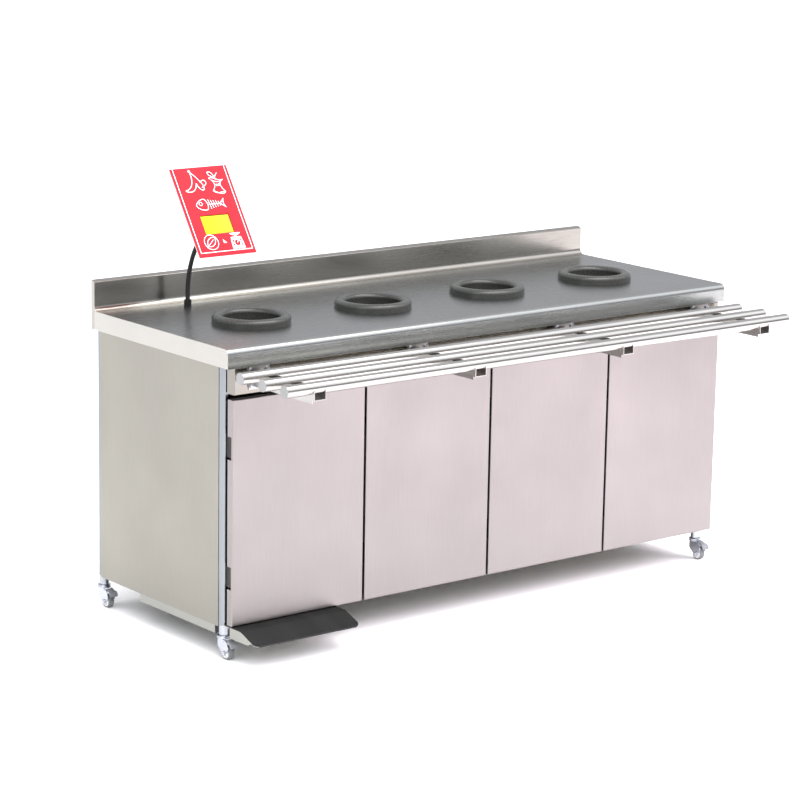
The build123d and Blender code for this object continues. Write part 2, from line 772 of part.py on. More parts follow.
# ---- Display: plate, screen and housing in a tilted plane, on a gooseneck with a tilting head ----
tilt = math.radians(plate_tilt)
plate_normal = Vector(0, -math.cos(tilt), math.sin(tilt))
plate_plane = Plane(
    origin=(display_x, upstand_front - plate_rear_setback, plate_height), x_dir=(1, 0, 0), z_dir=plate_normal
)
plate_width, plate_length, plate_thickness = plate_size
window_width, window_length = window_size
window = Pos(0, -window_drop, -plate_thickness / 2) * Box(window_width, window_length, plate_thickness)
plate = Pos(0, 0, -plate_thickness / 2) * Box(plate_width, plate_length, plate_thickness) - window
save("display_plate", plate_plane.location * plate)
screen = Pos(0, -window_drop, -screen_recess - screen_thickness / 2) * Box(
    window_width - 2 * fit, window_length - 2 * fit, screen_thickness
)
save("display_screen", plate_plane.location * screen)

housing_width, housing_length, housing_depth = housing_size
housing_back = -plate_thickness - housing_depth
tilt_axis_z = housing_back - tilt_axis_gap
housing = Pos(0, -housing_drop, -plate_thickness - housing_depth / 2) * Box(*housing_size)
rear_edges = housing.edges().filter_by(lambda e: e.center().Z < housing_back + housing_wall)
housing = fillet(rear_edges, housing_round)
housing -= Pos(0, -housing_drop, -plate_thickness - housing_depth / 2 + housing_wall / 2) * Box(
    housing_width - 2 * housing_wall, housing_length - 2 * housing_wall, housing_depth - housing_wall
)
ear_inside = neck_head_width / 2 + fit
for side_sign in (-1, 1):
    ear_x = side_sign * (ear_inside + ear_thickness / 2)
    ear = Pos(ear_x, -housing_drop, tilt_axis_z) * Rot(0, 90, 0) * Cylinder(ear_radius, ear_thickness)
    ear += Pos(ear_x, -housing_drop, (tilt_axis_z + housing_back) / 2) * Box(
        ear_thickness, 2 * ear_radius, tilt_axis_gap
    )
    housing += ear
housing -= Pos(0, -housing_drop, tilt_axis_z) * Rot(0, 90, 0) * Cylinder(
    tilt_pin_radius + running, neck_head_width + 4 * ear_thickness
)
save("display_housing", plate_plane.location * housing)

head_point = plate_plane.from_local_coords(Vector(0, -housing_drop, tilt_axis_z))
neck_head = rod_x(
    head_point.Y, head_point.Z, neck_head_radius, display_x - neck_head_width / 2,
    display_x + neck_head_width / 2,
)
tilt_pin_half = ear_inside + ear_thickness + fit
neck_head += rod_x(
    head_point.Y, head_point.Z, tilt_pin_radius, display_x - tilt_pin_half, display_x + tilt_pin_half
)
save("neck_head", neck_head)

# The neck rises straight, then bends in one arc that ends at the head.
arc_start_z = top + neck_straight
rise = head_point.Z - arc_start_z
reach = neck_y - head_point.Y
bend = 2 * math.atan2(reach, rise)
arc_radius = rise / math.sin(bend)
neck_bottom_z = top + gland_floor + fit
neck_section = Plane((display_x, neck_y, neck_bottom_z)) * Circle(neck_radius)
neck_tube = extrude(neck_section, amount=arc_start_z - neck_bottom_z)
arc_section = Plane((display_x, neck_y, arc_start_z)) * Circle(neck_radius)
arc_axis = Axis((display_x, neck_y - arc_radius, arc_start_z), (1, 0, 0))
neck_tube += revolve(arc_section, axis=arc_axis, revolution_arc=math.degrees(bend))
neck_tube -= rod_x(
    head_point.Y, head_point.Z, neck_head_radius, display_x - neck_head_width / 2,
    display_x + neck_head_width / 2,
)
save("gooseneck", neck_tube)
gland = rod_z(display_x, neck_y, gland_radius, top, top + gland_height)
gland -= rod_z(display_x, neck_y, neck_radius + running, top + gland_floor, top + gland_height)
save("gooseneck_gland", gland)
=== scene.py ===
import math
import bmesh
import bpy
import numpy as np
from mathutils import Matrix, Vector


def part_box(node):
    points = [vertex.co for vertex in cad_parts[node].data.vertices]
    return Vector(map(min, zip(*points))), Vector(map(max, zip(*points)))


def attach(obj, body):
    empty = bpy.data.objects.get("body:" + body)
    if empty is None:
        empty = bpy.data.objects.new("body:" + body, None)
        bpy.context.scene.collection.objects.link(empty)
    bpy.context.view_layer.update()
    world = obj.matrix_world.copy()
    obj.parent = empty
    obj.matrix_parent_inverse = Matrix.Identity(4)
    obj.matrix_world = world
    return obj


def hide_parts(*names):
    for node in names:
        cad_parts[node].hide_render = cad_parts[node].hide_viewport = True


# A canteen waste-sorting table: stainless sheet and tube, rubber-ringed waste holes, four doors, a
# tray slide, a bin scale with a ramp, castors, and a weight display on a gooseneck. All in metres.
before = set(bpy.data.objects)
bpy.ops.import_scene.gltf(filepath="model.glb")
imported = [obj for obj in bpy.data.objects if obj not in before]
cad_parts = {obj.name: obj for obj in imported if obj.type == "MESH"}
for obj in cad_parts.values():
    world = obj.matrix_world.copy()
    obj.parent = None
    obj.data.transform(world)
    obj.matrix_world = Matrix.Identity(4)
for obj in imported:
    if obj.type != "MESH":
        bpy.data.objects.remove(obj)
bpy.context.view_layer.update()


# ---- Camera ----
# A long lens stands well back to the front left of the table, a little above the worktop.
camera_place = Vector((-5.3383, -6.5124, 2.4610))
camera_yaw, camera_pitch, camera_roll = 0.66998, -0.21730, 0.01741
camera_data = bpy.data.cameras.new("camera")
camera_data.sensor_width = 36.0
camera_data.lens = 128.4
camera_data.clip_end = 200.0
camera = bpy.data.objects.new("camera", camera_data)
bpy.context.scene.collection.objects.link(camera)
bpy.context.scene.camera = camera
ahead = Vector((
    math.sin(camera_yaw) * math.cos(camera_pitch), math.cos(camera_yaw) * math.cos(camera_pitch),
    math.sin(camera_pitch),
))
level = Vector((math.cos(camera_yaw), -math.sin(camera_yaw), 0.0))
above = level.cross(ahead)
across = math.cos(camera_roll) * level + math.sin(camera_roll) * above
upward = math.cos(camera_roll) * above - math.sin(camera_roll) * level
turn = Matrix((across, upward, -ahead)).transposed()
camera.matrix_world = Matrix.Translation(camera_place) @ turn.to_4x4()


# ---- Studio floor and light ----
# A seamless pale paper floor, one large overhead softbox, a side fill and a dim room around them,
# so that the steel has something light and something dark to mirror.
def linear(code):
    """A hex sRGB colour as linear RGBA: each channel c is ((c + 0.055) / 1.055) to the power 2.4."""
    channels = [int(code[k:k + 2], 16) / 255 for k in (0, 2, 4)]
    return [c / 12.92 if c < 0.04045 else ((c + 0.055) / 1.055) ** 2.4 for c in channels] + [1.0]


def add(tree, kind, inputs=None, **settings):
    """One node: settings are its options, and inputs are linked where they are sockets."""
    new = tree.nodes.new(kind)
    for key, value in settings.items():
        setattr(new, key, value)
    for key, value in (inputs or {}).items():
        if isinstance(value, bpy.types.NodeSocket):
            tree.links.new(value, new.inputs[key])
        else:
            new.inputs[key].default_value = value
    return new


def blank_material(name):
    """An empty node material with its output, and the object's own coordinates."""
    material = bpy.data.materials.new(name)
    material.use_nodes = True
    material.node_tree.nodes.clear()
    place = add(material.node_tree, "ShaderNodeTexCoord").outputs["Object"]
    return material, material.node_tree, place


def show(tree, shader):
    """Sends a shader to the material's output."""
    add(tree, "ShaderNodeOutputMaterial", {"Surface": shader.outputs[0]})


def softbox(name, place, target, size, watts, tint, mirrored=True):
    """A rectangular area light at a place, facing a target; the steel mirrors it or doesn't."""
    data = bpy.data.lights.new(name, "AREA")
    data.shape = "RECTANGLE"
    data.size, data.size_y = size
    data.energy = watts
    data.color = linear(tint)[:3]
    light = bpy.data.objects.new(name, data)
    bpy.context.scene.collection.objects.link(light)
    light.location = place
    light.rotation_euler = (Vector(target) - Vector(place)).to_track_quat("-Z", "Y").to_euler()
    light.visible_glossy = mirrored


bpy.context.scene.view_settings.view_transform = "Standard"
paper, tree, place = blank_material("matte_white_paper")
fibre = add(tree, "ShaderNodeTexNoise", {"Vector": place, "Scale": 1.5, "Detail": 3.0})
tone = add(tree, "ShaderNodeMapRange", {0: fibre.outputs["Fac"], 3: 0.985, 4: 1.0})
paper_colour = add(tree, "ShaderNodeMix", {
    0: tone.outputs[0], 6: linear("F4F4F4"), 7: linear("FFFFFF"),
}, data_type="RGBA")
show(tree, add(tree, "ShaderNodeBsdfPrincipled", {
    "Base Color": paper_colour.outputs[2], "Roughness": 0.9, "Specular IOR Level": 0.1,
}))
floor_half = 40.0
floor_mesh = bpy.data.meshes.new("studio_floor")
floor_mesh.from_pydata(
    [(x, y, 0.0) for x, y in ((-1, -1), (1, -1), (1, 1), (-1, 1))], [], [(0, 1, 2, 3)]
)
floor_mesh.transform(Matrix.Diagonal((floor_half, floor_half, 1, 1)))
floor_mesh.materials.append(paper)
floor = bpy.data.objects.new("studio_floor", floor_mesh)
bpy.context.scene.collection.objects.link(floor)

world = bpy.data.worlds.new("studio_room")
bpy.context.scene.world = world
world.use_nodes = True
world.node_tree.nodes.clear()
# The room's light by direction: bright overhead towards the front, dim behind and below.
heading = add(world.node_tree, "ShaderNodeTexCoord").outputs["Generated"]
parts = add(world.node_tree, "ShaderNodeSeparateXYZ", {0: heading})
overhead = add(world.node_tree, "ShaderNodeMapRange", {0: parts.outputs["Z"], 1: 0.25, 2: 0.50})
front_glow = add(world.node_tree, "ShaderNodeMapRange", {
    0: parts.outputs["Y"], 1: -0.18, 2: 0.08, 3: 1.7, 4: 0.30,
})
high_glow = add(world.node_tree, "ShaderNodeMath", {
    0: overhead.outputs[0], 1: front_glow.outputs[0],
}, operation="MULTIPLY")
low_tone = add(world.node_tree, "ShaderNodeMapRange", {
    0: parts.outputs["Y"], 1: -0.5, 2: 0.5, 3: 0.45, 4: 0.62,
})
strength = add(world.node_tree, "ShaderNodeMath", {
    0: high_glow.outputs[0], 1: low_tone.outputs[0],
}, operation="ADD")
sky = add(world.node_tree, "ShaderNodeBackground", {
    "Color": linear("F8F9FF"), "Strength": strength.outputs[0],
})
add(world.node_tree, "ShaderNodeOutputWorld", {"Surface": sky.outputs[0]})

softbox("overhead_softbox", (0.3, -1.2, 4.4), (0.0, 0.2, 0.6), (4.0, 2.4), 110.0, "FFFDF8")
softbox("left_softbox", (-5.0, -1.5, 3.2), (-0.6, 0.0, 0.5), (2.0, 2.0), 14.0, "FBFCFF")
softbox("floor_wash", (2.9, -3.2, 2.4), (2.3, -2.4, 0.0), (2.4, 2.4), 120.0, "FFE8F4", mirrored=False)


def even_light(name, elevation, strength, spread):
    """A very soft light on paper, rubber and plastic, from the front at an elevation in degrees."""
    data = bpy.data.lights.new(name, "SUN")
    data.energy = strength
    data.angle = math.radians(spread)
    light = bpy.data.objects.new(name, data)
    bpy.context.scene.collection.objects.link(light)
    light.rotation_euler = (math.radians(90 - elevation), 0, math.radians(-25))
    light.visible_glossy = False


even_light("even_top_light", 78, 1.5, 80)
even_light("even_front_light", 24, 1.0, 60)


# ---- Worktop and its end plates ----
# One folded sheet of brushed stainless with a bull-nosed front; plates welded on close its ends.
def dress(material, *nodes):
    """Gives every face of these frame pieces one material."""
    for name in nodes:
        for material_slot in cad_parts[name].material_slots:
            material_slot.material = material


def brushed_stainless(name, bright, dull, roughness, along, bump=0.25):
    """AISI 304 sheet with a grit-180 brushed face: long grain along one axis over a broad cloud.
    The true grain is 0.2 mm wide; it is drawn 1.6 mm wide so that it shows at arm's length."""
    grain_width, grain_length, cloud_size = 0.0016, 0.070, 0.30
    material, tree, place = blank_material(name)
    scales = [1 / grain_width] * 3
    scales["xyz".index(along)] = 1 / grain_length
    stretched = add(tree, "ShaderNodeMapping", {"Vector": place, "Scale": scales})
    grain = add(tree, "ShaderNodeTexNoise", {
        "Vector": stretched.outputs[0], "Scale": 1.0, "Detail": 3.0, "Roughness": 0.65,
    })
    cloud = add(tree, "ShaderNodeTexNoise", {"Vector": place, "Scale": 1 / cloud_size, "Detail": 2.0})
    blend = add(tree, "ShaderNodeMath", {0: grain.outputs["Fac"], 1: cloud.outputs["Fac"]}, operation="ADD")
    tone = add(tree, "ShaderNodeMapRange", {0: blend.outputs[0], 1: 0.7, 2: 1.3})
    colour = add(tree, "ShaderNodeMix", {
        0: tone.outputs[0], 6: linear(dull), 7: linear(bright),
    }, data_type="RGBA")
    gloss = add(tree, "ShaderNodeMapRange", {
        0: blend.outputs[0], 1: 0.7, 2: 1.3, 3: roughness + 0.05, 4: roughness - 0.04,
    })
    relief = add(tree, "ShaderNodeBump", {
        "Height": grain.outputs["Fac"], "Strength": bump, "Distance": 0.00008,
    })
    show(tree, add(tree, "ShaderNodeBsdfPrincipled", {
        "Base Color": colour.outputs[2], "Metallic": 1.0, "Roughness": gloss.outputs[0],
        "Normal": relief.outputs[0],
    }))
    return material


worktop_steel = brushed_stainless("brushed_stainless_worktop", "A6A8A6", "999B99", 0.27, "x", 0.15)
end_steel = brushed_stainless("brushed_stainless_end_plate", "B9B6B0", "B3B0AA", 0.34, "y", 0.08)
dress(worktop_steel, "worktop", "worktop_stiffeners")
dress(end_steel, "worktop_end_plates")


# ---- Upstand ----
# A hollow splash wall folded from the same sheet, with a coved foot that sheds water.
upstand_steel = brushed_stainless("brushed_stainless_upstand", "A9A6A0", "96928B", 0.24, "x", 0.15)
dress(upstand_steel, "upstand")


# ---- Waste rings ----
# Moulded nitrile rubber bands with a fat rounded crown; a neck and a lip grip the sheet's edge.
def grid_faces(rows, columns, rows_closed, columns_closed):
    """The four corners of every cell of a grid of points, joined round where it is closed."""
    row = np.arange(rows if rows_closed else rows - 1)[:, None]
    column = np.arange(columns if columns_closed else columns - 1)[None, :]
    next_row, next_column = (row + 1) % rows, (column + 1) % columns
    corners = np.stack(np.broadcast_arrays(
        row * columns + column, row * columns + next_column,
        next_row * columns + next_column, next_row * columns + column,
    ), axis=-1)
    return corners.reshape(-1, 4).tolist()


def swept(points, rows_closed=True, columns_closed=True):
    """A shell from a (rows, columns, 3) array; an open set of rows is capped at both ends."""
    rows, columns, _ = points.shape
    faces = grid_faces(rows, columns, rows_closed, columns_closed)
    if not rows_closed:
        faces.append(list(range(columns)))
        faces.append(list(range((rows - 1) * columns, rows * columns)))
    if not columns_closed:
        faces.append(list(range(0, rows * columns, columns)))
        faces.append(list(range(columns - 1, rows * columns, columns)))
    return points.reshape(-1, 3), faces


def lathed(radii, along, axis, centre, turns=48):
    """A closed profile turned about an axis: (radius cos t, radius sin t, along) for t round a circle."""
    t = np.linspace(0, 2 * np.pi, turns, endpoint=False)
    radii, along = np.asarray(radii)[:, None], np.asarray(along)[:, None]
    first, second = radii * np.cos(t), radii * np.sin(t)
    third = along + 0 * t
    order = {"z": (first, second, third), "x": (third, first, second)}[axis]
    return swept(np.stack(order, axis=-1) + np.asarray(centre))


def build(name, shells, material, body, replaces=(), bevel=0.0, sharp=35.0, tints=None):
    """One object from closed shells: doubles merged, faces turned outwards, edges rounded."""
    points, faces, marks, start = [], [], [], 0
    for number, (shell_points, shell_faces) in enumerate(shells):
        points.append(shell_points)
        faces += [[index + start for index in face] for face in shell_faces]
        marks += [0 if tints is None else tints[number]] * len(shell_faces)
        start += len(shell_points)
    mesh = bpy.data.meshes.new(name)
    mesh.from_pydata(np.concatenate(points).tolist(), [], faces)
    mesh.polygons.foreach_set("material_index", marks)
    work = bmesh.new()
    work.from_mesh(mesh)
    bmesh.ops.remove_doubles(work, verts=work.verts, dist=2e-6)
    bmesh.ops.dissolve_degenerate(work, edges=work.edges, dist=1e-6)
    bmesh.ops.recalc_face_normals(work, faces=work.faces)
    work.to_mesh(mesh)
    work.free()
    for one in material if isinstance(material, (list, tuple)) else [material]:
        mesh.materials.append(one)
    mesh.shade_smooth()
    mesh.set_sharp_from_angle(angle=math.radians(sharp))
    piece = bpy.data.objects.new(name, mesh)
    bpy.context.scene.collection.objects.link(piece)
    if bevel:
        rounding = piece.modifiers.new("rounded_edges", "BEVEL")
        rounding.width = bevel
        rounding.segments = 2
        rounding.limit_method = "ANGLE"
        rounding.angle_limit = math.radians(40)
        rounding.harden_normals = True
    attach(piece, body)
    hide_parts(*replaces)
    return piece


def rubber(name, light, dark, roughness, grit):
    """Moulded rubber: a dull dark base, fine moulding texture and a soft broad sheen."""
    material, tree, place = blank_material(name)
    fine = add(tree, "ShaderNodeTexNoise", {"Vector": place, "Scale": 1 / grit, "Detail": 3.0})
    broad = add(tree, "ShaderNodeTexNoise", {"Vector": place, "Scale": 14.0, "Detail": 2.0})
    colour = add(tree, "ShaderNodeMix", {
        0: broad.outputs["Fac"], 6: linear(dark), 7: linear(light),
    }, data_type="RGBA")
    gloss = add(tree, "ShaderNodeMapRange", {
        0: fine.outputs["Fac"], 1: 0.3, 2: 0.7, 3: roughness - 0.06, 4: roughness + 0.08,
    })
    relief = add(tree, "ShaderNodeBump", {
        "Height": fine.outputs["Fac"], "Strength": 0.25, "Distance": 0.0003,
    })
    show(tree, add(tree, "ShaderNodeBsdfPrincipled", {
        "Base Color": colour.outputs[2], "Roughness": gloss.outputs[0], "IOR": 1.52,
        "Normal": relief.outputs[0],
    }))
    return material


ring_band, ring_foot_inset, ring_neck_wall = 0.033, 0.0005, 0.007
ring_lip, ring_lip_height, sheet, lip_play = 0.005, 0.0045, 0.0015, 0.0003
ring_rubber = rubber("moulded_nitrile_rubber", "393A37", "2E2F2C", 0.24, 0.004)
for number in range(1, 5):
    low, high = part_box(f"scrap_ring_{number}")
    outer = (high.x - low.x) / 2
    bore = outer - ring_band
    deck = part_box("worktop")[1].z
    crown = (high.z - deck) / 2
    middle = (outer + bore) / 2
    foot = math.acos((ring_band / 2 - ring_foot_inset) / (ring_band / 2))
    t = np.linspace(-foot, math.pi + foot, 26)
    radii = np.concatenate([
        middle + ring_band / 2 * np.cos(t),
        [bore + ring_foot_inset] * 2, [bore + ring_neck_wall + ring_lip] * 2,
        [bore + ring_neck_wall] * 2, [outer - ring_foot_inset],
    ])
    heights = np.concatenate([
        crown + crown * np.sin(t),
        [0.0, -sheet - ring_lip_height], [-sheet - ring_lip_height, -sheet - lip_play],
        [-sheet - lip_play, 0.0], [0.0],
    ])
    centre = ((low.x + high.x) / 2, (low.y + high.y) / 2, deck)
    build(
        f"waste_ring_{number}", [lathed(radii, heights, "z", centre, 96)], ring_rubber,
        "table", [f"scrap_ring_{number}"],
    )


# ---- Front rail and doors ----
# A box-folded fascia over four pan doors; the doors' faces are finely brushed, the rail's is bright.
rail_steel = brushed_stainless("bright_stainless_rail", "8E8B84", "85827B", 0.13, "x", 0.06)
door_steel = brushed_stainless("brushed_stainless_door", "989291", "938D8C", 0.36, "z", 0.06)
dress(rail_steel, "front_rail")
dress(door_steel, *[f"door_{number}" for number in range(1, 5)])
dress(door_steel, *[f"door_liner_{number}" for number in range(1, 5)])
zinc = brushed_stainless("bright_zinc_plate", "B5B8BD", "A5A9AF", 0.28, "z", 0.1)
dress(zinc, "hinge_pins", "bracket_bolts", "leg_inserts")
# Painted shade: the hinge brackets get a very dark steel colour that stands in for the shade in the slots
# beside the doors' edges.
hinge_painted_shade = brushed_stainless("hinge_steel_painted_shade", "4C4A46", "403E3B", 0.42, "z", 0.08)
dress(hinge_painted_shade, "hinge_brackets")
catch_plastic = rubber("moulded_black_nylon", "33332F", "262623", 0.5, 0.002)
dress(catch_plastic, "door_catches")


# ---- Tray slide ----
# Three capped stainless tubes lie in the saddles of four folded channel brackets.
tube_steel = brushed_stainless("polished_stainless_tube", "B8B6B2", "B0AEAA", 0.16, "x", 0.05)
cap_steel = brushed_stainless("satin_stainless_cap", "A9A9A8", "A3A3A2", 0.48, "z", 0.1)
dress(tube_steel, "tray_tubes")
dress(cap_steel, "tray_tube_caps")
bracket_steel = brushed_stainless("folded_stainless_bracket", "C6C3C0", "AAA7A4", 0.3, "y")
dress(bracket_steel, "tray_brackets")


# ---- Legs, panels, partitions, lower rails and shelves ----
# Round tube legs with flat sheets set between them; the inside is the same plain sheet.
leg_steel = brushed_stainless("polished_stainless_leg", "8D9195", "868A8E", 0.16, "z", 0.05)
panel_steel = brushed_stainless("brushed_stainless_panel", "96938A", "918E86", 0.36, "z", 0.08)
dress(leg_steel, "legs")
dress(panel_steel, "side_panels", "rear_panel", "partitions", "base_shelf", "lower_rails")


# ---- Scale and ramp ----
# A sheet tray with a platform on four load cells; a bent plate and a ribbed mat lead up to it.
scale_steel = brushed_stainless("brushed_stainless_scale", "A6A6A0", "9B9B95", 0.36, "x")
dress(scale_steel, "scale_base", "scale_platform", "ramp_frame")
cell_metal = brushed_stainless("anodised_aluminium_cell", "D2D4D6", "C2C4C6", 0.4, "y", 0.1)
dress(cell_metal, "load_cells")
mat_rubber = rubber("ribbed_black_rubber", "141413", "0E0E0D", 0.6, 0.003)
mat_thickness, mat_corner, rib_pitch, rib_depth = 0.003, 0.014, 0.0032, 0.0008
ramp_flat_reach, ramp_drop, soften = 0.040, 0.0265, 0.006
mat_low, mat_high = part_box("ramp_mat")
worktop_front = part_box("worktop")[0].y
bend_y = worktop_front - ramp_flat_reach
fall = ramp_drop / (bend_y - mat_low.y)
corner_t = np.linspace(0, 1, 9)
mat_y = np.concatenate([
    [mat_high.y], np.linspace(bend_y + soften, bend_y - soften, 7),
    mat_low.y + mat_corner * (1 - np.sin(corner_t * np.pi / 2)),
])
past_bend = bend_y - mat_y
mat_z = mat_high.z - fall * np.where(
    past_bend < -soften, 0, np.where(past_bend > soften, past_bend, (past_bend + soften) ** 2 / (4 * soften))
)
mat_inset = mat_corner - np.sqrt(np.maximum(
    mat_corner ** 2 - np.maximum(mat_low.y + mat_corner - mat_y, 0) ** 2, 0
))
columns = int((mat_high.x - mat_low.x) / rib_pitch) * 4 + 1
mat_x = np.linspace(mat_low.x, mat_high.x, columns)
rib = rib_depth * (0.5 - 0.5 * np.clip(2.2 * np.cos(2 * np.pi * (mat_x - mat_low.x) / rib_pitch), -1, 1))
nose_reach, nose_drop = 0.0012, 0.0055
nose_y = mat_low.y - nose_reach * np.array([0.7, 1.0, 1.0, 0.1, 0.1])
nose_z = mat_z[-1] - np.array([0.0003, 0.0012, nose_drop, nose_drop, mat_thickness])
loop_y = np.concatenate([mat_y, nose_y, mat_y[::-1]])
loop_inset = np.concatenate([mat_inset, [mat_inset[-1]] * 5, mat_inset[::-1]])
loop_z = np.concatenate([mat_z, nose_z, mat_z[::-1] - mat_thickness])
groove = np.concatenate([np.ones(len(mat_y)), np.zeros(len(mat_y) + 5)])
grid_x = np.clip(
    mat_x[:, None] + 0 * loop_y, mat_low.x + loop_inset, mat_high.x - loop_inset
)
grid_z = loop_z + (rib[:, None] - rib_depth) * groove
build(
    "ramp_ribbed_mat", [swept(np.stack([grid_x, loop_y + 0 * grid_x, grid_z], axis=-1), rows_closed=False)],
    mat_rubber, "table", ["ramp_mat"],
)


# ---- Castors ----
# Pressed zinc-plated forks with a nylon hub, a grey non-marking tyre and a steel foot brake.
def slab(outline, low, high):
    """A plate in the Y-Z plane between two X values, from its outline's points."""
    outline = np.asarray(outline)
    rows = [np.column_stack([np.full(len(outline), x), outline]) for x in (low, high)]
    return swept(np.stack(rows), rows_closed=False)


def arc(centre, radius, start, end, count=10):
    """Points round part of a circle: centre plus radius times (cos, sin), angles in degrees."""
    t = np.radians(np.linspace(start, end, count))
    return np.column_stack([centre[0] + radius * np.cos(t), centre[1] + radius * np.sin(t)])


def moulded(name, light, dark, roughness):
    """Injection-moulded plastic: even colour with a fine spark-eroded texture and a skin gloss."""
    material, tree, place = blank_material(name)
    texture = add(tree, "ShaderNodeTexNoise", {"Vector": place, "Scale": 900.0, "Detail": 2.0})
    flow = add(tree, "ShaderNodeTexNoise", {"Vector": place, "Scale": 25.0, "Detail": 2.0})
    colour = add(tree, "ShaderNodeMix", {
        0: flow.outputs["Fac"], 6: linear(dark), 7: linear(light),
    }, data_type="RGBA")
    relief = add(tree, "ShaderNodeBump", {
        "Height": texture.outputs["Fac"], "Strength": 0.12, "Distance": 0.0001,
    })
    gloss = add(tree, "ShaderNodeMapRange", {
        0: flow.outputs["Fac"], 3: roughness - 0.05, 4: roughness + 0.05,
    })
    show(tree, add(tree, "ShaderNodeBsdfPrincipled", {
        "Base Color": colour.outputs[2], "Roughness": gloss.outputs[0], "IOR": 1.46,
        "Normal": relief.outputs[0],
    }))
    return material


fork_zinc = brushed_stainless("bright_zinc_fork", "CDD0D8", "C0C3CC", 0.24, "z", 0.1)
hub_nylon = moulded("white_nylon", "F4F4F2", "E6E6E3", 0.4)
tyre_rubber = rubber("grey_thermoplastic_rubber", "75777A", "686A6C", 0.5, 0.002)
pedal_paint = moulded("grey_painted_steel", "83868A", "74777A", 0.42)
wheel_trail, crown_radius, crown_thickness, cheek = 0.021, 0.020, 0.0097, 0.0025
fork_gap, fork_end, axle_radius, hub_radius = 0.0025, 0.008, 0.004, 0.0155
fork_front, fork_back, fork_front_drop, fork_back_drop = 0.039, 0.010, 0.021, 0.022
pedal_trail, pedal_drop, pedal_pin, pedal_fall, pedal_tip_fall = 0.020, 0.0036, 0.002, 0.0095, 0.006
crown_round, crown_bore, crown_step, axle_end, axle_head = 0.002, 0.0052, 0.001, 0.005, 0.0065
fork_front_round, fork_back_round, tyre_round, hub_play = 0.005, 0.004, 0.003, 0.00005
